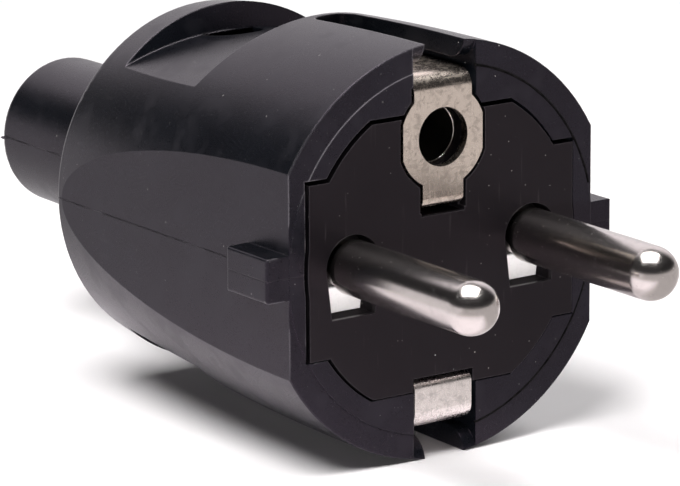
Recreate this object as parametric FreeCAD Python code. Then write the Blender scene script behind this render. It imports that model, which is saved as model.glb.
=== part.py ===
import FreeCAD, Part
import math
import os

# Rewirable two-pin earthed plug with a one-piece rubber housing.
# Axis of the plug along Y, pins towards -Y, earth hole up (+Z), millimetres.
# The origin is the centre of the engagement face, halfway between the pins.

V = FreeCAD.Vector
ORIGIN = V(0, 0, 0)
AXIS = V(0, 1, 0)
SIDEWAYS = V(1, 0, 0)
UPWARDS = V(0, 0, 1)

# Driving dimensions
pin_pitch = 19.0            # between the two pin axes
pin_d = 4.8
pin_reach = 19.0            # from the engagement face to the pin tip
earth_hole_d = 5.2
earth_rise = 0.56           # earth hole above half the pitch
rim_w = 8.95                # housing beyond a pin axis
carrier_depth = 14.0        # depth of the contact carrier
scoop_len = 12.8            # finger scoop along its floor
flange_t = 4.6
sleeve_len = 23.8           # cord sleeve behind the flange
cord_bore_d = 9.8
skin = 2.2                  # thickness of the carrier face
sheet = 0.8                 # thickness of the earth sheet
screw_d = 3.0

# Small distances used throughout
fit = 0.15                  # loose fit between moulded parts
play = 0.25                 # carrier in the rubber opening, all round
hair = 0.05                 # play between closely fitted metal parts
touch = hair / 1000         # points nearer than this are one point
past = 1.0                  # how far a cutter runs past a face
edge = 0.3                  # rounding of moulded edges
wall = 1.15                 # carrier wall thickness

# Margins that place one form from another
flat_inset = 2.32           # side flat inside the round front
ring_inset = 2.2            # raised ring inside the round front
ring_step = 0.06            # the rim lies this far behind the ring
rim_round = 0.1             # outer edge of the rim
barrel_drop = 2.5           # fall of the radius along the body
sleeve_wall = 2.2
sleeve_taper = 0.15
sleeve_sag = 0.27           # the sleeve hangs this far below the axis
scoop_side_in = 6.05        # foot of the scoop walls, below the round front
scoop_crown_in = 4.55       # crown of the scoop floor, below the round front
scoop_back = 3.6            # scoop behind the carrier
lip_t = 2.0
lip_cover = 0.95            # overhang of a lip over the strip
groove_shift = 0.2          # the grooves lie this far right of the middle
rubber_ring = 2.05          # ring of rubber round the carrier's shoulders
rubber_side = 2.08
rubber_top = 3.5
rubber_web = 2.6            # between a groove and its scoop
shoulder_drop = 2.1         # flats of the carrier inside its shoulders
ear_drop = 6.5
cover_rim = 2.0             # thickness of the rear cover
hole_room = 0.43            # carrier round a pin
window_drop = 1.57          # window below a pin hole
root_less = 0.4             # the pin is thinner behind the face
block_wall = 1.0

# Engagement pattern
pin_x = pin_pitch / 2
pin_r = pin_d / 2
pin_root_d = pin_d - 2 * root_less
earth_height = pin_x + earth_rise

# Contact carrier, seen from the front
front_r = pin_x + rim_w                         # the round front of the housing
flat_x = front_r - flat_inset
ring_r = front_r - ring_inset
carrier_r = ring_r - rubber_ring                # its rounded shoulders
carrier_top = carrier_r - shoulder_drop         # its top and bottom flats
ear_x = flat_x - rubber_side
ear_top = carrier_r - ear_drop
seat_x = 0.175                                  # its offset in the opening
seat_z = 0.15
carrier_end = carrier_depth + cover_rim         # rear of its cover
cavity_end = carrier_end + fit

# Finger scoops, flange and sleeve
scoop_front = carrier_end + scoop_back          # foot of the front wall
scoop_slope = 0.33                              # lean of the front wall
flange_front = scoop_front + scoop_len          # foot of the flange face
flange_lean = 0.12
body_len = flange_front + flange_t
scoop_side = front_r - scoop_side_in            # height at which both feet are taken
scoop_crown = front_r - scoop_crown_in          # crown of the floor at the flange
scoop_arch = 1.832 * front_r                    # radius of the arched floor
scoop_fall = 0.08                               # fall of the crown towards the rear
sleeve_r = cord_bore_d / 2 + sleeve_wall
sleeve_end_r = sleeve_r - sleeve_taper
end_y = body_len + sleeve_len
rear_round = 1.0
neck_round = 2.0
sleeve_round = 0.8
lug_reach = 2.3
lug_len = 6.0
lug_h = 3.9
lug_round = 0.25

# Grooves and lips of the housing, with the strips inside them
ring_w = 1.9                                    # sheet round the earth hole
ring_flat_in = 0.28
neck_more = 0.45
tab_less = 0.45
tab_reach = 1.66
groove_room = 0.3
ring_outer_r = earth_hole_d / 2 + ring_w
ring_flat_x = ring_outer_r - ring_flat_in
half_neck = earth_hole_d / 2 + neck_more
half_tab = earth_hole_d / 2 - tab_less
tab_low = earth_height - ring_outer_r - tab_reach
half_notch = half_neck + groove_room
half_gap = half_neck - lip_cover                # half the space between two lips
lip_under = front_r - lip_t
strip_out = lip_under - sheet                   # outer face of a strip
strip_bend = 2 * sheet
tab_bend = 0.9
leg_top = carrier_top - tab_bend                # upper face of the lower leg
tongue_top = strip_out - sheet - fit            # rib of the carrier below a strip
half_tongue = half_notch - groove_shift - fit
half_seat = half_neck + fit                     # seat of a strip in the carrier
groove_end = scoop_front - rubber_web
strip_end = carrier_depth - past
bridge_y = skin + strip_bend - fit
sleeve_t = 0.5                                  # split tube behind the ring
sleeve_in = 1.1                                 # its front edge behind the sheet
sleeve_back = carrier_depth + fit
spring_w = 1.8
spring_t = 0.4
spring_y = sleeve_back - 2.3 * spring_w
lead_r = 2.2                                    # rounded front end of a lip
groove_corner = 1.2

# Latch that holds the carrier in the rubber
stud_r = 2.7
stud_ahead = 0.4                                # of the foot of the flange
stud_y = flange_front - stud_ahead
stud_top = scoop_crown - past
chamber_end = stud_y - past
chamber_top = scoop_crown - rubber_top
chamber_x = carrier_top - 3 * edge
half_arm = stud_r + fit
arm_top = chamber_top - fit
arm_low = arm_top - wall

# Pin windows in the carrier face
pin_hole_r = pin_r + hole_room
window_top_x = pin_hole_r - hair
window_low_x = pin_r - fit
window_low = pin_hole_r + window_drop

# Plates and terminals
plate_t = 1.0
half_plate = pin_r + 3 * edge
plate_low = window_low + 3 * edge
plate_high = pin_r + past
spigot_r = 1.7
spigot_len = carrier_depth / 4
half_block = pin_r + block_wall / 2
block_top = half_block + edge
block_end = carrier_depth - cover_rim
mouth_x = half_block - block_wall
mouth_low = block_wall + 2 * edge - block_top
mouth_high = block_top - block_wall - edge
mouth_len = block_end - skin - spigot_len - 2 * fit
press_t = 0.7
head_r = screw_d / 2 + 1.1
head_t = 1.8
screw_y = block_end - head_r - fit
driver_w = 0.6

# Cover, cord grip and fixings
cover_screw_d = 2.4
post_r = cover_screw_d / 2 + 0.7
cover_head_r = cover_screw_d / 2 + 0.9
post_x = pin_x - 2.5
post_z = block_top + press_t + head_t + post_r + 2 * edge
trough_r = cord_bore_d / 2 + edge
saddle_x = trough_r + 4.3
saddle_low = trough_r + 3.2
saddle_top = 1.2
saddle_end = chamber_end - 1.5
grip_y = (carrier_end + saddle_end) / 2 + past
grip_x = trough_r + 2.1
bar_low = 2.6
bar_top = trough_r + 0.6
half_bar = 3.2
nut_af = 5.5
nut_t = 2.2

far = 2 * front_r                               # reach of cutters that pass everything


def box(x0, x1, y0, y1, z0, z1):
    """Block between two opposite corners."""
    return Part.makeBox(x1 - x0, y1 - y0, z1 - z0, V(x0, y0, z0))


def bar(half, y0, y1, z0, z1):
    """Block on the plug's middle plane."""
    return box(-half, half, y0, y1, z0, z1)


def rod_y(r, x, z, y0, y1):
    """Round bar along the plug's axis."""
    return Part.makeCylinder(r, y1 - y0, V(x, y0, z), AXIS)


def rod_z(r, x, y, z0, z1):
    """Upright round bar."""
    return Part.makeCylinder(r, z1 - z0, V(x, y, z0), UPWARDS)


def flip_x(shape):
    """Mirror image on the other side."""
    return shape.mirror(ORIGIN, SIDEWAYS)


def both_z(shape):
    """A shape and its mirror image below."""
    return shape.fuse(shape.mirror(ORIGIN, UPWARDS))


def polygon(points, vector):
    """Prism on a flat polygon."""
    return Part.Face(Part.makePolygon(points + points[:1])).extrude(vector)


def arc(cx, cy, r, a0, a1, place):
    """Arc in a plane; place turns two coordinates into a point."""
    pts = [place(cx + r * math.cos(math.radians(a)), cy + r * math.sin(math.radians(a)))
           for a in (a0, (a0 + a1) / 2, a1)]
    return Part.Arc(*pts).toShape()


def chain(items, place):
    """Closed face from points and arcs, joined by straight lines."""
    edges, first, last = [], None, None
    for item in items:
        is_arc = not isinstance(item, tuple)
        start = item.firstVertex().Point if is_arc else place(*item)
        stop = item.lastVertex().Point if is_arc else start
        if last is not None and (start - last).Length > touch:
            edges.append(Part.makeLine(last, start))
        if is_arc:
            edges.append(item)
        first = start if first is None else first
        last = stop
    if (first - last).Length > touch:
        edges.append(Part.makeLine(last, first))
    return Part.Face(Part.Wire(edges))


def in_xy(x, y):
    """Point in the plane that is turned about the axis."""
    return V(x, y, 0)


def in_yz(y, z):
    """Point in the side profile, at the left reach of the cutters."""
    return V(-far, y, z)


def barrel(y):
    """Radius of the body at a distance behind the face."""
    return front_r - barrel_drop * (y / body_len) ** 2


def carrier_prism(grow, y0, y1):
    """Outline of the carrier, grown all round, as a prism along the axis."""
    top, ear = carrier_top + grow, ear_top + grow
    core = rod_y(carrier_r + grow, 0, 0, y0, y1).common(bar(far, y0, y1, -top, top))
    return core.fuse(bar(ear_x + grow, y0, y1, -ear, ear)).removeSplitter()


def turned(items):
    """Body turned about the axis from half of its outline."""
    return chain(items, in_xy).revolve(ORIGIN, AXIS, 360)


def barrel_body():
    """Front ring, rim, barrel and flange."""
    y_in, y_back = ring_step + rim_round, body_len - rear_round
    mid = (y_in + y_back) / 2
    side = Part.Arc(V(barrel(y_in), y_in, 0), V(barrel(mid), mid, 0), V(barrel(y_back), y_back, 0))
    items = [(0, 0), (ring_r, 0), (ring_r, ring_step),
             arc(barrel(y_in) - rim_round, y_in, rim_round, -90, 0, in_xy),
             side.toShape(),
             arc(barrel(y_back) - rear_round, y_back, rear_round, 0, 90, in_xy),
             (0, body_len)]
    return turned(items)


def cord_sleeve():
    """Sleeve behind the flange, hanging a little, with a rounded neck and end."""
    items = [(0, body_len - past), (sleeve_r + neck_round, body_len - past),
             arc(sleeve_r + neck_round, body_len + neck_round, neck_round, 270, 180, in_xy),
             arc(sleeve_end_r - sleeve_round, end_y - sleeve_round, sleeve_round, 0, 90, in_xy),
             (0, end_y)]
    sleeve = turned(items)
    sleeve.translate(V(0, 0, -sleeve_sag))
    return sleeve


def scoop():
    """Finger scoop above the arched floor, between front wall and flange."""
    low, high = scoop_side - 2 * past, front_r + past
    ends = [(scoop_front - scoop_slope * (z - scoop_side), flange_front + flange_lean * (z - scoop_side), z)
            for z in (low, high)]
    side = [in_yz(front, z) for front, rear, z in ends] + [in_yz(rear, z) for front, rear, z in ends[::-1]]
    room = polygon(side, V(2 * far, 0, 0))
    fall = V(0, 1, -scoop_fall)
    start = V(0, 0, scoop_crown + scoop_fall * flange_front - scoop_arch)
    return room.cut(Part.makeCylinder(scoop_arch, 2 * body_len, start, fall))


def groove():
    """Undercut groove for one earth strip, open at the front and to the carrier."""
    top = front_r + past
    channel = bar(half_notch, -past, groove_end, carrier_top - past, lip_under)
    slot = bar(half_gap, -past, groove_end, lip_under - past, top)
    rear = [e for e in slot.Edges if e.BoundBox.ZLength > past and e.BoundBox.YMin > groove_end - hair]
    slot = slot.makeFillet(groove_corner, rear)
    lead = bar(half_notch, -past, ring_step + lead_r, lip_under - hair, top)
    lip = Part.makeCylinder(lead_r, 2 * far, V(-far, ring_step + lead_r, lip_under + lead_r), SIDEWAYS)
    room = channel.fuse([slot, lead.cut(lip)])
    room.translate(V(groove_shift, 0, 0))
    return room


def housing():
    """One-piece rubber housing with scoops, grooves, lugs and hollow inside."""
    body = barrel_body().fuse(cord_sleeve()).common(bar(flat_x, -past, end_y + past, -far, far))
    lug = box(flat_x - past, flat_x + lug_reach, ring_step, ring_step + lug_len, -lug_h / 2, lug_h / 2)
    lug = lug.makeFillet(lug_round, [e for e in lug.Edges if e.BoundBox.XMin > flat_x])
    body = body.fuse([lug, flip_x(lug)])
    opening = carrier_prism(play, -past, cavity_end)
    opening.translate(V(-seat_x, 0, seat_z))
    ring_seat = clip_outline(2 * fit).common(bar(far, -past, sheet + fit, 0, tongue_top))
    chamber = bar(chamber_x, cavity_end - past, chamber_end, -chamber_top, chamber_top)
    arm_end = stud_y + stud_r + play
    arm_room = bar(half_arm + play, chamber_end - past, arm_end, -chamber_top, chamber_top)
    stud_hole = rod_z(stud_r + fit, 0, stud_y, chamber_top - past, front_r)
    stud_hole = stud_hole.cut(bar(far, flange_front, body_len, scoop_crown, front_r))
    bore_r, flare = cord_bore_d / 2, 3 * edge
    bore = rod_y(bore_r, 0, 0, chamber_end - past, end_y + past)
    mouth = Part.makeCone(bore_r, bore_r + flare, flare, V(0, end_y - flare, 0), AXIS)
    for cutter in (both_z(scoop()), both_z(groove()), opening, ring_seat, chamber, arm_room,
                   both_z(stud_hole), bore, mouth):
        body = body.cut(cutter)
    return body


def clip_outline(grow):
    """Front outline of the earth clip as a prism through everything."""
    y0, y1 = -past, strip_end + past
    disc = rod_y(ring_outer_r + grow, 0, earth_height, y0, y1).common(bar(ring_flat_x + grow, y0, y1, 0, far))
    neck = bar(half_neck + grow, y0, y1, earth_height, far)
    tab = bar(half_tab + grow, y0, y1, tab_low - grow, earth_height)
    return disc.fuse([neck, tab])


def bent_sheet(low_bend, low_end, low_z, high_bend, high_end, high_z):
    """Sheet bent twice: a leg at its foot, a flat front, a leg at its head."""
    low_cz, high_cz = low_z + low_bend, high_z - high_bend
    items = [(low_end, low_z),
             arc(low_bend, low_cz, low_bend, 270, 180, in_yz),
             arc(high_bend, high_cz, high_bend, 180, 90, in_yz),
             (high_end, high_z), (high_end, high_z - sheet),
             arc(high_bend, high_cz, high_bend - sheet, 90, 180, in_yz),
             arc(low_bend, low_cz, low_bend - sheet, 180, 270, in_yz),
             (low_end, low_z + sheet)]
    return chain(items, in_yz).extrude(V(2 * far, 0, 0))


def earth_clip():
    """Ring round the earth hole with a bent strip above and a tab below."""
    bent = bent_sheet(tab_bend, bridge_y, tab_low, strip_bend, strip_end, strip_out)
    clip = bent.common(clip_outline(0))
    return clip.cut(rod_y(earth_hole_d / 2, 0, earth_height, -past, sheet + past / 2))


def earth_contact():
    """Lower contact: leg into the carrier, flat front, strip in the groove."""
    bent = bent_sheet(strip_bend, strip_end, -strip_out, tab_bend, bridge_y, -leg_top)
    return bent.common(bar(half_neck, -past, strip_end + past, -far, 0))


def window(x):
    """Tapered opening below a pin hole."""
    wide, narrow = window_top_x, window_low_x
    return polygon([V(x - wide, -past, 0), V(x + wide, -past, 0), V(x + narrow, -past, -window_low),
                    V(x - narrow, -past, -window_low)], V(0, skin + 2 * past, 0))


def tongue(y0, y1):
    """Rib under an earth strip, rounded where the strip bends."""
    rib = bar(half_tongue, y0, y1, carrier_top - wall, tongue_top)
    if y0 < skin:
        front = [e for e in rib.Edges
                 if e.BoundBox.YMax < y0 + hair and e.BoundBox.ZMin > tongue_top - hair]
        rib = rib.makeFillet(strip_bend - sheet - fit, front)
    return rib


def sleeve_room(grow, y0, y1):
    """Round bar that clears the earth sleeve."""
    return rod_y(earth_hole_d / 2 + sleeve_t + grow, 0, earth_height, y0, y1)


def contact_carrier():
    """Hard face of the plug with a rim wall behind and two screw posts."""
    back = carrier_depth + past
    body = carrier_prism(0, 0, carrier_depth).cut(carrier_prism(-wall, skin, back))
    body = body.fuse(both_z(tongue(sheet + fit, carrier_depth)))
    for side in (-1, 1):
        post, hole = side * post_x, side * pin_x
        body = body.fuse(rod_y(post_r, post, post_z, skin - hair, carrier_depth))
        body = body.cut(rod_y(cover_screw_d / 2 + hair, post, post_z, skin + past, back))
        body = body.cut(rod_y(pin_hole_r, hole, 0, -past, skin + past)).cut(window(hole))
    rim = wall - carrier_top
    leg_slot = bar(half_seat, -past, bridge_y + sheet + fit, -carrier_top - fit, rim)
    front_seat = bar(half_seat, -past, sheet + fit, -far, rim)
    tab_slot = bar(half_tab + fit, -past, bridge_y, tab_low - 4 * fit, tab_low + tab_bend + fit)
    ring_seat = clip_outline(2 * fit).common(bar(far, -past, sheet + fit, 0, far))
    for cutter in (leg_slot, front_seat, tab_slot, ring_seat, sleeve_room(fit, -past, back),
                   sleeve_room(spring_t + fit, spring_y - fit, back)):
        body = body.cut(cutter)
    return body.removeSplitter()


def pin(side):
    """Solid pin with a round tip, a thinner root and a spigot behind the face."""
    x, tip_y = side * pin_x, pin_r - pin_reach
    shank = rod_y(pin_r, x, 0, tip_y, 0)
    root = rod_y(pin_root_d / 2, x, 0, -past, skin + fit)
    spigot = rod_y(spigot_r, x, 0, skin, skin + spigot_len)
    return shank.fuse([Part.makeSphere(pin_r, V(x, tip_y, 0)), root, spigot]).removeSplitter()


def pin_plate(side):
    """Flat plate on the pin, seen through the window."""
    x, front = side * pin_x, skin + fit
    plate = box(x - half_plate, x + half_plate, front, front + plate_t, -plate_low, plate_high)
    plate = plate.makeChamfer(edge, [e for e in plate.Edges if e.BoundBox.YLength > plate_t / 2])
    return plate.cut(rod_y(spigot_r + hair, x, 0, 0, front + plate_t + past))


def terminal(x, front):
    """Brass block with a wire mouth at the rear and a screw hole on top."""
    body = box(x - half_block, x + half_block, front, block_end, -block_top, block_top)
    body = body.makeChamfer(edge, [e for e in body.Edges if e.BoundBox.YLength > past])
    body = body.cut(box(x - mouth_x, x + mouth_x, block_end - mouth_len, block_end + past,
                        mouth_low, mouth_high))
    return body.cut(rod_z(screw_d / 2 + hair, x, screw_y, 0, 2 * block_top))


def pin_terminal(side):
    """Terminal block pressed on the spigot of a pin."""
    x = side * pin_x
    return terminal(x, skin + fit + plate_t).cut(rod_y(spigot_r + hair, x, 0, 0, skin + spigot_len + hair))


def slotted_screw(x, y, tip, seat):
    """Upright cheese-head screw with a driver slot."""
    top = seat + head_t
    body = rod_z(screw_d / 2, x, y, tip, seat + hair).fuse(rod_z(head_r, x, y, seat, top))
    half = driver_w / 2
    return body.cut(box(x - far, x + far, y - half, y + half, top - head_t / 2, top + past)).removeSplitter()


def three(make):
    """The same part in each of the three terminals, as one group."""
    return Part.makeCompound([make(x) for x in (-pin_x, 0, pin_x)])


def two(make):
    """The same part on both sides, as one group."""
    return Part.makeCompound([make(side) for side in (-1, 1)])


def terminal_screw(x):
    """Screw that presses a plate onto the wire."""
    return slotted_screw(x, screw_y, mouth_high - press_t / 2, block_top + press_t)


def pressure_plate(x):
    """Plate under the tip of a terminal screw."""
    top, half = mouth_high - press_t / 2, mouth_x - hair
    return box(x - half, x + half, block_end - mouth_len + hair, block_end - edge, top - press_t, top)


def earth_bridge():
    """Sheet behind the face that joins the sleeve, the clip and the contact."""
    plate = bar(half_neck, bridge_y, bridge_y + sheet, -leg_top - sheet, earth_height - sheet)
    return plate.cut(sleeve_room(0, 0, carrier_depth))


def earth_sleeve():
    """Female earth contact: split tube behind the ring."""
    tube = sleeve_room(-hair, sheet + sleeve_in, sleeve_back)
    tube = tube.cut(rod_y(earth_hole_d / 2 - hair, 0, earth_height, 0, carrier_end))
    half = driver_w / 2
    return tube.cut(box(0, far, bridge_y + skin, carrier_end, earth_height - half, earth_height + half))


def sleeve_spring():
    """Spring ring that closes the split sleeve on the earth pin."""
    ring = sleeve_room(spring_t, spring_y, spring_y + spring_w)
    return ring.cut(sleeve_room(0, 0, carrier_depth))


def carrier_cover():
    """Rear cover with cord saddle and two latch arms."""
    body = carrier_prism(0, carrier_depth, carrier_end).fuse(both_z(tongue(carrier_depth, carrier_end)))
    body = body.fuse(carrier_prism(-wall - fit, block_end + fit, carrier_depth + hair))
    root = carrier_end - hair
    body = body.fuse(bar(saddle_x, root, saddle_end, -saddle_low, -saddle_top))
    arm = bar(half_arm, root, stud_y + stud_r, arm_low, arm_top)
    body = body.fuse(both_z(arm.fuse(rod_z(stud_r, 0, stud_y, arm_low, stud_top))))
    body = body.cut(rod_y(trough_r, 0, 0, carrier_end, saddle_end + past))
    body = body.cut(sleeve_room(spring_t + fit, block_end, sleeve_back + fit))
    for x in (-pin_x, 0, pin_x):
        body = body.cut(box(x - mouth_x, x + mouth_x, block_end, carrier_end + past, mouth_low, mouth_high))
    for side in (-1, 1):
        body = body.cut(rod_y(post_r + fit, side * post_x, post_z, block_end, carrier_depth))
        body = body.cut(rod_y(cover_screw_d / 2 + fit, side * post_x, post_z, block_end, carrier_end + past))
        body = body.cut(rod_z(screw_d / 2 + fit, side * grip_x, grip_y, -far, 0))
        body = body.cut(hexagon(side * grip_x, nut_af / 2 + fit, -saddle_low - past, nut_t + past))
    return body.removeSplitter()


def hexagon(x, apothem, z0, tall):
    """Six-sided prism for a nut or its pocket."""
    r = apothem / math.cos(math.radians(30))
    turns = [math.radians(60 * k) for k in range(6)]
    return polygon([V(x + r * math.cos(t), grip_y + r * math.sin(t), z0) for t in turns], V(0, 0, tall))


def clamp_nut(side):
    """Nut in its pocket under the saddle."""
    x = side * grip_x
    return hexagon(x, nut_af / 2, -saddle_low, nut_t).cut(rod_z(screw_d / 2 + hair, x, grip_y, -far, 0))


def clamp_screw(side):
    """Screw that pulls the clamp bar onto the cord."""
    return slotted_screw(side * grip_x, grip_y, -saddle_low, bar_top)


def clamp_bar():
    """Arched bar over the cord."""
    body = bar(saddle_x, grip_y - half_bar, grip_y + half_bar, bar_low, bar_top)
    body = body.makeFillet(edge, [e for e in body.Edges if e.BoundBox.ZLength > past])
    body = body.cut(rod_y(trough_r, 0, 0, 0, body_len))
    for side in (-1, 1):
        body = body.cut(rod_z(screw_d / 2 + fit, side * grip_x, grip_y, 0, far))
    return body


def cover_screw(side):
    """Screw that holds the cover to a post of the carrier."""
    x, top = side * post_x, carrier_end + head_t
    body = rod_y(cover_screw_d / 2, x, post_z, skin + 2 * past, carrier_end + hair)
    body = body.fuse(rod_y(cover_head_r, x, post_z, carrier_end, top))
    half = driver_w / 2
    slot = box(-far, far, top - head_t / 2, top + past, post_z - half, post_z + half)
    return body.cut(slot).removeSplitter()


os.makedirs("parts", exist_ok=True)
nodes = {
    "housing": housing(),
    "contact_carrier": contact_carrier(),
    "carrier_cover": carrier_cover(),
    "pin_left": pin(-1),
    "pin_right": pin(1),
    "pin_plate_left": pin_plate(-1),
    "pin_plate_right": pin_plate(1),
    "terminal_left": pin_terminal(-1),
    "terminal_right": pin_terminal(1),
    "earth_terminal": terminal(0, bridge_y + sheet),
    "terminal_screws": three(terminal_screw),
    "pressure_plates": three(pressure_plate),
    "earth_clip": earth_clip(),
    "earth_contact": earth_contact(),
    "earth_bridge": earth_bridge(),
    "earth_sleeve": earth_sleeve(),
    "sleeve_spring": sleeve_spring(),
    "clamp_bar": clamp_bar(),
    "clamp_screws": two(clamp_screw),
    "clamp_nuts": two(clamp_nut),
    "cover_screws": two(cover_screw),
}
for name, shape in nodes.items():
    shape.exportStep(os.path.join("parts", name + ".step"))
    print(name, "solids", len(shape.Solids), "volume", round(shape.Volume, 1), "valid", shape.isValid())
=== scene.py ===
# %% [markdown]
# # An earthed mains plug, finished for its picture
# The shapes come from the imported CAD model, in metres, with the plug lying along Y: pins towards -Y, the
# earth hole above them towards +Z. This script adds what CAD leaves out: the look of moulded rubber,
# hard plastic and plated metal, the flash of the mould, and dust.

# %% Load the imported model
import bpy
import bmesh
import math
import random
from mathutils import Matrix, Vector
from mathutils.bvhtree import BVHTree


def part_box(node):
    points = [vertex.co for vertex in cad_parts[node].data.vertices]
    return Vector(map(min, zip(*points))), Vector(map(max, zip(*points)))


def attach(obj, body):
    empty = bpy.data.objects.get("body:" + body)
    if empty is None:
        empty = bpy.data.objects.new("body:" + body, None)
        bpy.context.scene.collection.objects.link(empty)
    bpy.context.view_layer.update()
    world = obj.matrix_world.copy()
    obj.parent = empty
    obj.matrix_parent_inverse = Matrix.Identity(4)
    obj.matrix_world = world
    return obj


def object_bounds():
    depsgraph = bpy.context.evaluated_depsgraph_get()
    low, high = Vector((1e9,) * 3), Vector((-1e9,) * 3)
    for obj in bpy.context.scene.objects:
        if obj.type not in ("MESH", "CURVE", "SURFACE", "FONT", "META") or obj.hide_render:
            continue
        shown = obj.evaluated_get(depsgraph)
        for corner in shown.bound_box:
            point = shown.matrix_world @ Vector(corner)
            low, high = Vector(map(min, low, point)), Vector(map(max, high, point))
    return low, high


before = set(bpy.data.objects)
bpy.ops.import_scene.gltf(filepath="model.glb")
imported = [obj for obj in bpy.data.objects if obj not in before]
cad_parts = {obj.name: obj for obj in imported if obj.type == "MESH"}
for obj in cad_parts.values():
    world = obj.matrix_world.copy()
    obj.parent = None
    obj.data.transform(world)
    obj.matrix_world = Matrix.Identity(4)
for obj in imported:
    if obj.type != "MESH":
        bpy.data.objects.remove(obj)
cad_low, cad_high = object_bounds()
MM = 0.001
print("nodes", len(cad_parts), "size in mm", [round(v / MM, 2) for v in cad_high - cad_low])

# %% [markdown]
# ## The table that the plug lies on
# A product picture of this kind is taken on a white sheet that sweeps away to nothing. Near the plug the
# sheet has to catch a soft shadow, and further out it has to be plain white, so its finish changes from
# matt paint to plain white light with the distance from the plug.


# %% A small kit for finishes
class Knob:
    """One value in a material. The plain arithmetic signs add the node that works them out."""

    def __init__(self, tree, socket):
        self.tree, self.socket = tree, socket

    def node(self, kind, settings, inputs, out=0):
        made = self.tree.nodes.new(kind)
        for name, value in settings.items():
            setattr(made, name, value)
        for name, value in inputs.items():
            if isinstance(value, Knob):
                self.tree.links.new(value.socket, made.inputs[name])
            else:
                made.inputs[name].default_value = value
        return Knob(self.tree, made.outputs[out])

    def maths(self, rule, first, second=0.0):
        return self.node("ShaderNodeMath", {"operation": rule}, {0: first, 1: second})

    def __add__(self, other):
        return self.maths("ADD", self, other)

    def __sub__(self, other):
        return self.maths("SUBTRACT", self, other)

    def __mul__(self, other):
        return self.maths("MULTIPLY", self, other)

    def __rsub__(self, other):
        return self.maths("SUBTRACT", other, self)

    __radd__, __rmul__ = __add__, __mul__

    def size(self):
        return self.maths("ABSOLUTE", self)

    def diagonal(self, other):
        """The diagonal of the rectangle whose sides are these values."""
        squares = self * self + other * other
        return squares.maths("SQRT", squares)

    def most(self, other):
        return self.maths("MAXIMUM", self, other)

    def ramp(self, low, high):
        """0 below low, 1 above high, and smooth between. With low over high it runs the other way."""
        down = low > high
        ends = {"Value": self, "From Min": min(low, high), "From Max": max(low, high),
                "To Min": float(down), "To Max": float(not down)}
        return self.node("ShaderNodeMapRange", {"interpolation_type": "SMOOTHSTEP"}, ends)

    def blend(self, first, second):
        """The first colour where this value is 0 and the second where it is 1."""
        return self.node("ShaderNodeMix", {"data_type": "RGBA"},
                         {0: self, 6: paint(first), 7: paint(second)}, 2)


def paint(colour):
    return colour if isinstance(colour, Knob) else (*colour, 1.0)


class Finish(Knob):
    """A material: its tree, the place on the piece, and the patterns that every real surface has."""

    def __init__(self, name, **constants):
        self.material = bpy.data.materials.new(name)
        self.material.use_nodes = True
        self.tree = self.material.node_tree
        self.shader = self.tree.nodes["Principled BSDF"]
        for key, value in constants.items():
            self.shader.inputs[key.replace("_", " ")].default_value = value
        self.place = self.node("ShaderNodeTexCoord", {}, {}, 3)
        parts = self.tree.nodes.new("ShaderNodeSeparateXYZ")
        self.tree.links.new(self.place.socket, parts.inputs[0])
        self.x, self.y, self.z = (Knob(self.tree, parts.outputs[k]) for k in range(3))

    def grain(self, per_mm, detail=2.0, stretch=(1.0, 1.0, 1.0), shift=(0.0, 0.0, 0.0), rough=0.5):
        """Cloudy noise, so many blobs to the millimetre, longer along an axis whose stretch is small."""
        where = self.node("ShaderNodeMapping", {"vector_type": "POINT"},
                          {"Vector": self.place, "Scale": stretch, "Location": shift})
        return self.node("ShaderNodeTexNoise", {},
                         {"Vector": where, "Scale": per_mm / MM, "Detail": detail, "Roughness": rough})

    def dots(self, per_mm, shift=(0.0, 0.0, 0.0)):
        """Distance from the nearest of many scattered points, in cells."""
        where = self.node("ShaderNodeMapping", {"vector_type": "POINT"},
                          {"Vector": self.place, "Location": shift})
        return self.node("ShaderNodeTexVoronoi", {}, {"Vector": where, "Scale": per_mm / MM})

    def rounded(self, radius):
        """The surface's direction as if every corner had so many mm of rounding."""
        return self.node("ShaderNodeBevel", {"samples": 6}, {"Radius": radius * MM})

    def edge(self, width):
        """1 on an outer or inner corner narrower than the width in mm, 0 on open faces."""
        soft = self.rounded(width)
        hard = self.node("ShaderNodeNewGeometry", {}, {}, 1)
        same = self.node("ShaderNodeVectorMath", {"operation": "DOT_PRODUCT"}, {0: soft, 1: hard}, 1)
        return same.ramp(0.985, 0.8)

    def relief(self, height, depth, under=None):
        """Bump: the height field, 0 to 1, raised by so many mm."""
        inputs = {"Height": height, "Distance": depth * MM, "Strength": 1.0}
        if under is not None:
            inputs["Normal"] = under
        return self.node("ShaderNodeBump", {}, inputs)

    def wear(self, **values):
        """Puts varying values on the shader."""
        for key, value in values.items():
            self.tree.links.new(value.socket, self.shader.inputs[key.replace("_", " ")])
        return self.material


# %% [markdown]
# The sheet is a disc of mesh rings that turns up at its far edge, the way a paper sweep does.

# %% Floor sweep
floor_z, middle = cad_low.z, (0.0, 0.02, 0.0)
rings, spokes = 28, 72
flat_reach, reach, lift = 1.2, 2.4, 0.35


def sweep_height(r):
    over = max(0.0, (r - flat_reach) / (reach - flat_reach))
    return floor_z + lift * over * over


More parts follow.
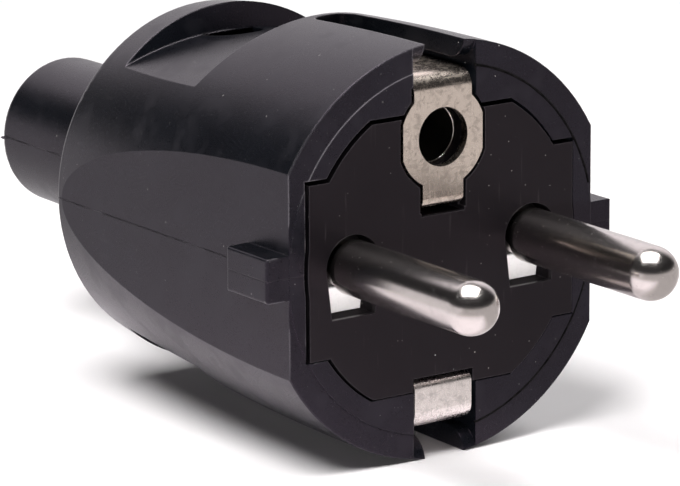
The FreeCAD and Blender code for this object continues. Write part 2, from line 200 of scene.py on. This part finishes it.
points, faces = [(middle[0], middle[1], floor_z)], []
for ring in range(1, rings + 1):
    r = reach * (ring / rings) ** 2
    points += [(middle[0] + r * math.cos(math.tau * k / spokes),
                middle[1] + r * math.sin(math.tau * k / spokes), sweep_height(r)) for k in range(spokes)]
for k in range(spokes):
    following = (k + 1) % spokes
    faces.append((0, 1 + k, 1 + following))
    for ring in range(rings - 1):
        a, b = 1 + ring * spokes, 1 + (ring + 1) * spokes
        faces.append((a + k, b + k, b + following, a + following))
sheet_mesh = bpy.data.meshes.new("white_sheet")
sheet_mesh.from_pydata(points, [], faces)
sheet = bpy.data.objects.new("white_sheet", sheet_mesh)
bpy.context.scene.collection.objects.link(sheet)

# %% [markdown]
# The polished pins and the glossy rubber mirror the sheet, so what they see of it matters as much as what
# the camera sees. In a mirror the sheet is bright to the left and behind, dusky in front and to the right.

# %% Finish of the sheet
paper = Finish("white_paper", Roughness=0.85)
paper.shader.inputs["Specular IOR Level"].default_value = 0.1
across = paper.node("ShaderNodeVectorMath", {"operation": "LENGTH"}, {0: paper.place}, 1)
seen = paper.node("ShaderNodeLightPath", {}, {}, 0)
mirrored = paper.node("ShaderNodeLightPath", {}, {}, 3)
white = paper.node("ShaderNodeEmission", {}, {"Color": (1, 1, 1, 1), "Strength": 1.0})
glow = (paper.y - paper.x * 0.4).ramp(-0.03, 0.05)
dusk = paper.node("ShaderNodeEmission", {}, {
    "Color": glow.blend((0.64, 0.61, 0.61), (0.93, 0.895, 0.915)), "Strength": 1.0})
in_front = paper.x.ramp(-8 * MM, 8 * MM) * paper.y.ramp(6 * MM, -6 * MM) * across.ramp(0.01, 0.028)
sheet_tint = paper.grain(0.2).ramp(0.2, 0.8).blend((0.885, 0.84, 0.89), (0.9, 0.855, 0.905))
paper.wear(Base_Color=seen.blend(sheet_tint, (0.89, 0.88, 0.895)))
matt = Knob(paper.tree, paper.shader.outputs[0])
dusky = across.ramp(0.04, 0.085).most(in_front) * mirrored
surface = paper.node("ShaderNodeMixShader", {}, {0: dusky, 1: matt, 2: dusk})
surface = paper.node("ShaderNodeMixShader", {}, {0: across.ramp(0.09, 0.24) * seen, 1: surface, 2: white})
paper.tree.links.new(surface.socket, paper.tree.nodes["Material Output"].inputs[0])
sheet_mesh.materials.append(paper.material)
print("sheet faces", len(faces))

# %% [markdown]
# ## Light
# Black rubber shows little colour of its own: what is seen on it is mostly the room. A pale panel stands
# behind the plug on the right and fills the upper side of the barrel, and left of it the room is dark
# down to a low bright horizon, which draws the dark band above the flats. The room and the big soft lamp
# over the plug are there for the sheen alone. Two smaller lamps light the paper and keep the shadow short
# and deep, and a low fill in front reaches the plates in the windows. These three draw no spots on the
# polished tips.

# %% Tent and lamps
world = bpy.data.worlds.new("tent")
bpy.context.scene.world = world
world.use_nodes = True
tent = Knob(world.node_tree, None)
way = tent.node("ShaderNodeTexCoord", {}, {}, 0)
split = world.node_tree.nodes.new("ShaderNodeSeparateXYZ")
world.node_tree.links.new(way.socket, split.inputs[0])
aside, depth, height = (Knob(world.node_tree, split.outputs[k]) for k in range(3))
panel = (aside + depth * 0.1 + height * 0.6 - 0.2).ramp(-0.16, 0.22) * height.ramp(0.86, 0.7)
panel = panel * (0.65 + 0.35 * height.ramp(0.15, 0.42)) * depth.ramp(-0.1, 0.45)
horizon = height.ramp(0.17, -0.06) * depth.ramp(-0.25, 0.45) * 0.5
room = panel.most(horizon).blend((0.02, 0.019, 0.02), (1.18, 1.12, 1.17))
direct = tent.node("ShaderNodeLightPath", {}, {}, 0)
back = world.node_tree.nodes["Background"]
world.node_tree.links.new(direct.blend(room, (1.0, 1.0, 1.0)).socket, back.inputs["Color"])


def soft_lamp(name, spot, aim, wide, tall, watts, colour=(1, 1, 1)):
    data = bpy.data.lights.new(name, "AREA")
    data.shape, data.size, data.size_y, data.energy, data.color = "RECTANGLE", wide, tall, watts, colour
    lamp = bpy.data.objects.new(name, data)
    bpy.context.scene.collection.objects.link(lamp)
    lamp.location = spot
    lamp.rotation_euler = (Vector(aim) - Vector(spot)).to_track_quat("-Z", "Y").to_euler()
    return lamp


sheen = soft_lamp("lamp_above", (-0.06, -0.04, 0.7), middle, 0.7, 0.6, 10.5)
sheen.visible_diffuse = False
world.cycles_visibility.diffuse = False
for name, spot, wide, tall, watts in (("paper_lamp_left", (-0.3, -0.12, 0.6), 0.34, 0.34, 7.0),
                                      ("paper_lamp_right", (0.45, -0.1, 0.5), 0.5, 0.5, 3.6),
                                      ("fill_in_front", (-0.4, -0.77, 0.02), 0.4, 0.04, 6.6)):
    soft_lamp(name, spot, middle, wide, tall, watts, (1.0, 0.98, 0.97)).visible_glossy = False

# %% [markdown]
# ## Camera
# Its place was worked out from the two pins, the round front and the flats in the photograph. It is a
# long lens held low in front and to the left of the plug.

# %% Camera
eye = Vector((-252.839, -339.756, 107.362)) * MM
ahead = Vector((0.56251, 0.78990, -0.24420)).normalized()
right = Vector((0.81381, -0.58111, -0.00506))
right = (right - ahead * right.dot(ahead)).normalized()
up = right.cross(ahead)
view = bpy.data.cameras.new("camera")
view.sensor_width, view.lens, view.clip_start = 36.0, 268.956, 0.01
camera = bpy.data.objects.new("camera", view)
bpy.context.scene.collection.objects.link(camera)
camera.matrix_world = Matrix.Translation(eye) @ Matrix((right, up, -ahead)).transposed().to_4x4()
bpy.context.scene.camera = camera
bpy.context.scene.view_settings.view_transform = "Standard"
print("camera to plug", round((eye - Vector(middle)).length, 3), "m")

# %% [markdown]
# ## Rubber of the housing
# The body is moulded in one piece from black rubber. Its skin is satin, a little uneven, rubbed shiny on
# the barrel, and it holds dust. The two halves of the mould met in the level plane through the pins, and
# left a fine line there along the flats, the lugs and the sleeve. Its outer corners carry a painted
# highlight on the lit side, and the crease at the foot of the front ring carries a painted highlight above
# and is dark below.

# %% Rubber
ring_edge, flat_x = 16.25 * MM, 16.13 * MM
rubber = Finish("black_rubber", IOR=1.38, Specular_Tint=(1.0, 0.78, 1.0, 1.0))
cloud = rubber.grain(0.12, 3.0)
skin = rubber.grain(9.0, 2.0)
smudge = rubber.grain(0.35, 4.0, shift=(3.0, 1.0, 2.0)).ramp(0.52, 0.68)
scuff = (rubber.grain(1.6, 3.0, stretch=(1.0, 0.12, 1.0)).ramp(0.63, 0.7)
         * rubber.grain(0.3, 1.0, shift=(0.0, 5.0, 0.0)).ramp(0.45, 0.62))
speck = rubber.dots(0.55).ramp(0.07, 0.035) * rubber.grain(0.25, 1.0).ramp(0.5, 0.66)
fine_speck = rubber.dots(1.7, shift=(0.3, 0.1, 0.7)).ramp(0.09, 0.05) * cloud.ramp(0.4, 0.6)
seam = (rubber.z.size().ramp(0.07 * MM, 0.03 * MM) * rubber.x.size().ramp(6.5 * MM, 6.8 * MM)
        * rubber.grain(0.25, 2.0, shift=(2.0, 6.0, 0.0)).ramp(0.35, 0.6))
from_axis = rubber.x.diagonal(rubber.z)
from_ring = (from_axis - ring_edge).size()
crease = (from_ring.ramp(0.06 * MM, 0.01 * MM) * rubber.y.ramp(0.3 * MM, 0.2 * MM)
          * rubber.z.size().ramp(6.5 * MM, 8.5 * MM))
shaded_side = rubber.x.ramp(-1.0 * MM, 1.0 * MM).most(rubber.z.ramp(-4 * MM, -12 * MM) * 0.7)
inner_face = from_axis.ramp(15.7 * MM, 15.2 * MM) * rubber.y.ramp(1.0 * MM, 0.6 * MM)
lug_foot = ((rubber.x.size() - flat_x).size().ramp(1.3 * MM, 1.0 * MM)
            * rubber.z.size().ramp(3.2 * MM, 2.9 * MM)
            * rubber.z.ramp(1.2 * MM, 1.6 * MM) * rubber.y.ramp(6.6 * MM, 6.2 * MM))
low_ring = (from_ring.ramp(0.55 * MM, 0.4 * MM) * rubber.y.ramp(0.5 * MM, 0.3 * MM)
            * rubber.z.ramp(8 * MM, 5 * MM))
# Painted highlight: corners are painted pale on the lit side, and left plain on the shaded side, the inner
# face, the foot of the lugs and the low part of the ring.
corner = (rubber.edge(0.3) * (1.0 - shaded_side) * (1.0 - inner_face * 0.8)
          * (1.0 - lug_foot.most(low_ring)))
black = cloud.ramp(0.3, 0.7).blend((0.0024, 0.003, 0.0042), (0.0036, 0.0044, 0.006))
black = (smudge * 0.3).blend(black, (0.012, 0.0125, 0.015))
black = (corner * 0.8).blend(black, (0.1, 0.097, 0.105))
# Painted highlight: the crease at the foot of the ring is painted pale on its upper, lit part.
painted_crease_highlight = crease * (0.5 - shaded_side * 0.5) * rubber.z.ramp(5 * MM, 8 * MM)
black = painted_crease_highlight.blend(black, (0.11, 0.105, 0.115))
black = (seam * 0.5).blend(black, (0.003, 0.003, 0.003))
black = (scuff * 0.05).blend(black, (0.09, 0.088, 0.092))
black = (speck.most(fine_speck * 0.6) * 0.6).blend(black, (0.24, 0.235, 0.23))
rubber_bump = rubber.relief(skin, 0.012, rubber.rounded(0.16))
rubber_bump = rubber.relief(seam.most(crease * shaded_side * 2.0), -0.04, rubber_bump)
rubber_look = rubber.wear(Base_Color=black, Roughness=0.25 + smudge * 0.06 + skin * 0.06 + speck * 0.3,
                          Normal=rubber_bump)

# %% [markdown]
# ## Hard plastic of the contact carrier
# The face that holds the pins is a hard moulding, browner and smoother than the rubber round it. Only
# the face is smooth. Inside the windows the plastic is left rough from the mould.

# %% Carrier plastic
plastic = Finish("black_hard_plastic", IOR=1.36, Specular_Tint=(1.0, 0.82, 0.92, 1.0))
flow = plastic.grain(0.15, 3.0, stretch=(1.0, 1.0, 0.4), shift=(7.0, 0.0, 1.0))
fine = plastic.grain(14.0, 1.0)
dust = plastic.dots(0.9, shift=(0.2, 0.5, 0.1)).ramp(0.06, 0.03) * flow.ramp(0.4, 0.6)
hair = plastic.grain(2.2, 2.0, stretch=(1.0, 1.0, 0.06)).ramp(0.66, 0.71)
# Painted highlight: the carrier's corners are painted paler in a narrow band.
carrier_edge_highlight = plastic.edge(0.15)
dark = flow.ramp(0.3, 0.7).blend((0.002, 0.0018, 0.0024), (0.0032, 0.0028, 0.0036))
dark = (carrier_edge_highlight * 0.6).blend(dark, (0.04, 0.036, 0.04))
dark = (hair * 0.16).blend(dark, (0.06, 0.055, 0.055))
dark = dust.blend(dark, (0.3, 0.29, 0.27))
inside = plastic.y.ramp(0.3 * MM, 0.6 * MM)
plastic_look = plastic.wear(Base_Color=dark, Roughness=0.36 + flow * 0.1 + dust * 0.3 + inside * 0.5,
                            Normal=plastic.relief(fine, 0.004, plastic.rounded(0.08)))


# %% [markdown]
# ## Plated metal
# Pins, clip and strips are nickel plated. The pins are turned and polished, the sheet parts keep the
# blotches and fine scratches of sheet metal that has rubbed in its tray with a thousand others. One
# recipe makes all the metals, and its numbers tell them apart.


# %% Nickel
def plated(name, colour, dull, blotch, rub, ring_marks=False, painted_pin_shade=False, solid=1.0):
    """A plated finish: dull is its mean roughness, and blotch and rub are how strong its stains and
    scratches are. Painted pin shade is painted shade: the plate that a pin is riveted through is painted
    near black above a level just under the pin."""
    metal = Finish(name, Metallic=solid)
    stain = metal.grain(1.3, 6.0, rough=0.75)
    small = metal.grain(5.0, 3.0)
    along = (0.05, 1.0, 1.0) if ring_marks else (1.0, 1.0, 0.06)
    lines = metal.grain(6.0, 3.0, stretch=along).ramp(0.55, 0.75)
    across = metal.grain(4.0, 2.0, stretch=(0.08, 1.0, 1.0), shift=(4.0, 2.0, 1.0)).ramp(0.62, 0.7)
    marks = lines.most(across * 0.7)
    worn = stain.ramp(0.47, 0.62)
    stained, scratched = (tuple(v * share for v in colour) for share in (0.62, 0.75))
    tint = (worn * blotch).blend(colour, stained)
    tint = (marks * rub * 0.5).blend(tint, scratched)
    if painted_pin_shade:
        # Painted shade: the plate is painted near black above a wavy level just under the pin, where the
        # pin and its hole shade it.
        pin_shade_mask = (metal.z + stain * (0.3 * MM)).ramp(-2.2 * MM, -1.9 * MM)
        tint = pin_shade_mask.blend(tint, (0.02, 0.018, 0.018))
    bump = metal.relief(small, 0.0014 * blotch)
    bump = metal.relief(marks, -0.002 * rub, bump)
    return metal.wear(Base_Color=tint, Normal=bump,
                      Roughness=dull + worn * 0.16 * blotch + marks * 0.14 * rub + small * 0.04)


pin_look = plated("polished_nickel", (0.62, 0.575, 0.55), 0.19, 0.14, 0.4, ring_marks=True)
clip_look = plated("sheet_nickel", (0.82, 0.715, 0.625), 0.22, 0.75, 0.9)
strip_look = plated("bright_strip", (0.95, 0.88, 0.84), 0.24, 0.6, 0.9)
plate_look = plated("bright_tin", (0.98, 0.96, 0.95), 0.35, 0.15, 0.2, painted_pin_shade=True, solid=0.15)
tube_look = plated("bright_tube", (0.9, 0.86, 0.82), 0.14, 0.4, 0.4)
brass_look = plated("cut_brass", (0.72, 0.5, 0.2), 0.28, 0.6, 0.6)
steel_look = plated("zinc_steel", (0.56, 0.57, 0.58), 0.32, 0.7, 0.6, ring_marks=True)
spring_look = plated("spring_steel", (0.42, 0.41, 0.4), 0.26, 0.5, 0.5)

# %% [markdown]
# ## Which finish goes on which part
# Each CAD part keeps its shape and gets its finish here. The parts shut up inside get theirs too.

# %% Finishes on the parts
looks = {
    "housing": rubber_look, "contact_carrier": plastic_look, "carrier_cover": plastic_look,
    "pin_left": pin_look, "pin_right": pin_look, "pin_plate_left": plate_look,
    "pin_plate_right": plate_look, "terminal_left": brass_look, "terminal_right": brass_look,
    "earth_terminal": brass_look, "terminal_screws": steel_look, "pressure_plates": steel_look,
    "earth_clip": clip_look, "earth_contact": strip_look, "earth_bridge": clip_look,
    "earth_sleeve": tube_look, "sleeve_spring": spring_look, "clamp_bar": steel_look,
    "clamp_screws": steel_look, "clamp_nuts": steel_look, "cover_screws": steel_look,
}
for name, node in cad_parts.items():
    for place in node.material_slots:
        place.material = looks[name]
print("finished parts", len(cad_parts))

# %% [markdown]
# ## Flash where the mould closed
# Rubber creeps into the hairline gap between the two halves of a mould and stays there as a thin, uneven
# thread. It runs round the outline that the level plane cuts out of the housing, so the thread is made
# from that cut: the cut edges become a curve, and the curve gets a tiny profile whose size wavers.


# %% A kit for node-built pieces
class Build(Knob):
    """A Geometry Nodes tree, made in the script, that turns one mesh into another."""

    def __init__(self, name, numbers):
        self.tree = bpy.data.node_groups.new(name, "GeometryNodeTree")
        face = self.tree.interface
        face.new_socket("Geometry", in_out="INPUT", socket_type="NodeSocketGeometry")
        self.keys = {}
        for label in numbers:
            knob = face.new_socket(label, in_out="INPUT", socket_type="NodeSocketFloat")
            self.keys[label] = knob.identifier
        face.new_socket("Geometry", in_out="OUTPUT", socket_type="NodeSocketGeometry")
        self.numbers = numbers
        entry = self.tree.nodes.new("NodeGroupInput")
        self.shape = Knob(self.tree, entry.outputs["Geometry"])
        self.given = {label: Knob(self.tree, entry.outputs[label]) for label in numbers}

    def finish(self, shape, material, source, name):
        """Ends the tree, runs it on the source mesh and returns the piece that comes out."""
        shape = self.node("GeometryNodeRealizeInstances", {}, {"Geometry": shape})
        shape = self.node("GeometryNodeSetMaterial", {}, {"Geometry": shape, "Material": material})
        self.tree.links.new(shape.socket, self.tree.nodes.new("NodeGroupOutput").inputs[0])
        carrier = bpy.data.objects.new(name, source)
        bpy.context.scene.collection.objects.link(carrier)
        step = carrier.modifiers.new(name, "NODES")
        step.node_group = self.tree
        for label, value in self.numbers.items():
            step[self.keys[label]] = value
        bpy.context.view_layer.update()
        seen_mesh = carrier.evaluated_get(bpy.context.evaluated_depsgraph_get())
        made = bpy.data.meshes.new_from_object(seen_mesh)
        made.name = name
        bpy.data.objects.remove(carrier)
        piece = bpy.data.objects.new(name, made)
        bpy.context.scene.collection.objects.link(piece)
        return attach(piece, "root")


# %% A plane cut and a thread
def plane_cut(name, through, facing, keep):
    """The outline that a plane cuts out of a CAD part, as edges, where keep says so."""
    slice_ = bmesh.new()
    slice_.from_mesh(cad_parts[name].data)
    cut = bmesh.ops.bisect_plane(slice_, geom=slice_.verts[:] + slice_.edges[:] + slice_.faces[:],
                                 dist=1e-7, plane_co=through, plane_no=facing)
    kept = {e for e in cut["geom_cut"] if isinstance(e, bmesh.types.BMEdge)
            and all(keep(v.co) for v in e.verts)}
    bmesh.ops.delete(slice_, geom=[e for e in slice_.edges if e not in kept], context="EDGES_FACES")
    bmesh.ops.delete(slice_, geom=[v for v in slice_.verts if not v.link_edges], context="VERTS")
    bmesh.ops.remove_doubles(slice_, verts=slice_.verts[:], dist=1e-6)
    outline = bpy.data.meshes.new(name + "_outline")
    slice_.to_mesh(outline)
    slice_.free()
    return outline


def thread(name, outline, radius, waver, material):
    """A thin, uneven thread along an outline."""
    build = Build(name, {"Radius": radius * MM, "Waver": waver})
    path = build.node("GeometryNodeMeshToCurve", {}, {"Mesh": build.shape})
    path = build.node("GeometryNodeResampleCurve", {"mode": "LENGTH"}, {"Curve": path, "Length": 0.3 * MM})
    noise = build.node("ShaderNodeTexNoise", {}, {"Scale": 900.0, "Detail": 2.0})
    wobble = build.given["Radius"] * (1.0 - build.given["Waver"] * noise)
    ring = build.node("GeometryNodeCurvePrimitiveCircle", {}, {"Resolution": 6, "Radius": 1.0})
    tube = build.node("GeometryNodeCurveToMesh", {}, {
        "Curve": path, "Profile Curve": ring, "Scale": wobble, "Fill Caps": True})
    piece = build.finish(tube, material, outline, name)
    print(name, "faces", len(piece.data.polygons))
    return piece


# %% The flash
sleeve_start, sleeve_end = 36.9 * MM, 60.6 * MM


def outside(spot):
    """True for the outer outline of the cut, not for the hollow inside or the faces of the lugs."""
    side = abs(spot.x)
    body = 0.3 * MM < spot.y < sleeve_start and 15.7 * MM < side < 18.35 * MM
    tail = sleeve_start <= spot.y < sleeve_end and side > 5.6 * MM
    return body or tail


parting = plane_cut("housing", (0, 0, 0), (0, 0, 1), outside)
flash = thread("mould_flash", parting, 0.035, 0.5, rubber_look)

# %% [markdown]
# ## Dirt in the joint round the carrier
# The hard carrier was pushed into the rubber from the front, with a hairline gap all round. On a plug
# that has been about, fine dark dirt packs into that gap. The carrier is cut by a plane just under its
# face, and where the cut runs close to the rubber it gets a thread of dirt.

# %% The dirt
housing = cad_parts["housing"].data
rubber_skin = BVHTree.FromPolygons([v.co for v in housing.vertices],
                                   [p.vertices[:] for p in housing.polygons])
joint = plane_cut("contact_carrier", (0, 0.2 * MM, 0), (0, 1, 0),
                  lambda spot: rubber_skin.find_nearest(spot)[3] < 0.3 * MM)
# This dark matt finish serves the dirt in the joint and also the painted shade thread at the foot of the
# ring.
dirt = Finish("packed_dirt", Roughness=0.9)
dirt.shader.inputs["Specular IOR Level"].default_value = 0.1
crust = dirt.grain(2.0, 3.0).ramp(0.35, 0.65)
dirt_and_shade_look = dirt.wear(Base_Color=crust.blend((0.0012, 0.001, 0.0011), (0.005, 0.0045, 0.0047)))
thread("joint_dirt", joint, 0.06, 0.4, dirt_and_shade_look)

# %% [markdown]
# The split sleeve behind the earth ring was turned, and its front rim kept a fine bright lip. It is the
# light arc that shows inside the hole.

# %% Bright lip of the sleeve
sleeve_low, sleeve_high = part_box("earth_sleeve")
hole_z = (sleeve_low.z + sleeve_high.z) / 2
print("sleeve", [round(v / MM, 2) for v in (*sleeve_low, *sleeve_high)])
lip_line = plane_cut("earth_sleeve", (0, sleeve_low.y + 0.06 * MM, 0), (0, 1, 0),
                     lambda spot: math.hypot(spot.x, spot.z - hole_z) < 2.62 * MM)
thread("sleeve_lip", lip_line, 0.06, 0.2, tube_look)

# %% [markdown]
# A thin dark matt thread laid in the corner at the foot of the raised ring inside the round front is
# painted shade. It runs down the right, shaded side, from the upper groove to the lower one.

# %% Painted shade at the foot of the ring
arc_steps, arc_end = 150, 78
foot_radius, foot_depth, flat_reach_x = ring_edge + 0.03 * MM, 0.06 * MM, cad_high.x - 2.6 * MM
turns = [math.radians(-arc_end + 2 * arc_end * k / arc_steps) for k in range(arc_steps + 1)]
arc_points = [(foot_radius * math.cos(t), foot_depth, foot_radius * math.sin(t)) for t in turns]
arc_edges = [(k, k + 1) for k in range(arc_steps)
             if max(arc_points[k][0], arc_points[k + 1][0]) < flat_reach_x]
arc_mesh = bpy.data.meshes.new("ring_arc")
arc_mesh.from_pydata(arc_points, arc_edges, [])
thread("ring_dirt", arc_mesh, 0.17, 0.5, dirt_and_shade_look)

# %% [markdown]
# Where a strand of rubber was torn off the mould, a small nib is left: one at the far end of the sleeve,
# one on each side of the body in front of the flange, and one under the right lug.

# %% Nibs
rng = random.Random(7)
nib_shape = bmesh.new()
for spot, long in (((-6.98, 60.1, -0.1), (0.34, 0.3, 0.12)), ((-15.95, 36.0, 0.0), (0.2, 0.3, 0.14)),
                   ((18.2, 0.9, -1.9), (0.16, 0.2, 0.16)), ((16.0, 33.0, 0.0), (0.14, 0.4, 0.1))):
    lump = bmesh.ops.create_icosphere(nib_shape, subdivisions=3, radius=1.0)["verts"]
    for vert in lump:
        swell = 1.0 + 0.25 * math.sin(5 * vert.co.x + rng.random()) * math.cos(4 * vert.co.z)
        vert.co = Vector([(spot[k] + long[k] * vert.co[k] * swell) * MM for k in range(3)])
nib_mesh = bpy.data.meshes.new("mould_nibs")
nib_shape.to_mesh(nib_mesh)
nib_shape.free()
nib_mesh.materials.append(rubber_look)
nib_mesh.shade_smooth()
nibs = bpy.data.objects.new("mould_nibs", nib_mesh)
bpy.context.scene.collection.objects.link(nibs)
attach(nibs, "root")
print("nib faces", len(nib_mesh.polygons))

# %% [markdown]
# ## Dust
# A dark plug under studio lamps always shows some dust. Grains lie scattered on the rubber and on the
# face, each a flat crumb with its own size and turn, and a few short fibres of lint lie among them.


# %% Grains and lint
def crumbs(name, per_mm2, seed, grain_size, squash, source):
    """Scatters small squashed crumbs over a mesh, away from the outermost reach of the plug."""
    scatter = Build(name, {"Density": per_mm2 / (MM * MM), "Size": grain_size * MM})
    spots = scatter.node("GeometryNodeDistributePointsOnFaces", {}, {
        "Mesh": scatter.shape, "Density": scatter.given["Density"], "Seed": seed})
    turn = Knob(scatter.tree, spots.socket.node.outputs["Rotation"])
    where = scatter.node("GeometryNodeInputPosition", {}, {})
    parts = scatter.tree.nodes.new("ShaderNodeSeparateXYZ")
    scatter.tree.links.new(where.socket, parts.inputs[0])
    x, y, z = (Knob(scatter.tree, parts.outputs[k]) for k in range(3))
    core, margin = 4.0 * MM, 0.15 * MM
    hidden = x.diagonal(z) - core
    outermost = ((x.size() - (cad_high.x - margin)).most(z.size() - (cad_high.z - margin))
                 .most(y - (cad_high.y - margin)))
    drop = outermost.maths("GREATER_THAN", outermost, 0.0).most(hidden.maths("LESS_THAN", hidden, 0.0))
    kept_spots = scatter.node("GeometryNodeDeleteGeometry", {"domain": "POINT"},
                              {"Geometry": spots, "Selection": drop})
    crumb = scatter.node("GeometryNodeMeshIcoSphere", {}, {"Radius": 1.0, "Subdivisions": 1})
    dent = scatter.node("ShaderNodeTexNoise", {}, {"Scale": 1.3, "Detail": 1.0}, 1)
    crumb = scatter.node("GeometryNodeSetPosition", {}, {"Geometry": crumb, "Offset": dent})
    crumb = scatter.node("GeometryNodeTransform", {}, {"Geometry": crumb, "Scale": squash,
                                                       "Translation": (-0.4, -0.2, -0.1)})
    scale = scatter.node("FunctionNodeRandomValue", {}, {2: 0.25, 3: 1.0, "Seed": seed + 1}, 1)
    spin = scatter.node("FunctionNodeRandomValue", {}, {2: 0.0, 3: math.tau, "Seed": seed + 2}, 1)
    spin = scatter.node("ShaderNodeCombineXYZ", {}, {"Z": spin})
    turned = scatter.node("FunctionNodeRotateRotation", {"rotation_space": "LOCAL"},
                          {"Rotation": turn, "Rotate By": spin})
    laid = scatter.node("GeometryNodeInstanceOnPoints", {}, {
        "Points": kept_spots, "Instance": crumb, "Rotation": turned,
        "Scale": scale * scale * scatter.given["Size"]})
    piece = scatter.finish(laid, dust_look, source, name)
    print(name, "faces", len(piece.data.polygons))
    return piece


powder = Finish("pale_dust", Roughness=0.95)
chalky = powder.grain(1.5).ramp(0.3, 0.7)
dust_look = powder.wear(Base_Color=chalky.blend((0.22, 0.215, 0.21), (0.4, 0.39, 0.38)))
dusty = bmesh.new()
for name in ("housing", "contact_carrier"):
    dusty.from_mesh(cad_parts[name].data)
skin_mesh = bpy.data.meshes.new("dusty_skin")
dusty.to_mesh(skin_mesh)
dusty.free()
crumbs("dust_grains", 0.022, 11, 0.08, (1.0, 0.7, 0.25), skin_mesh)
crumbs("lint_fibres", 0.006, 23, 0.5, (1.0, 0.05, 0.04), skin_mesh)
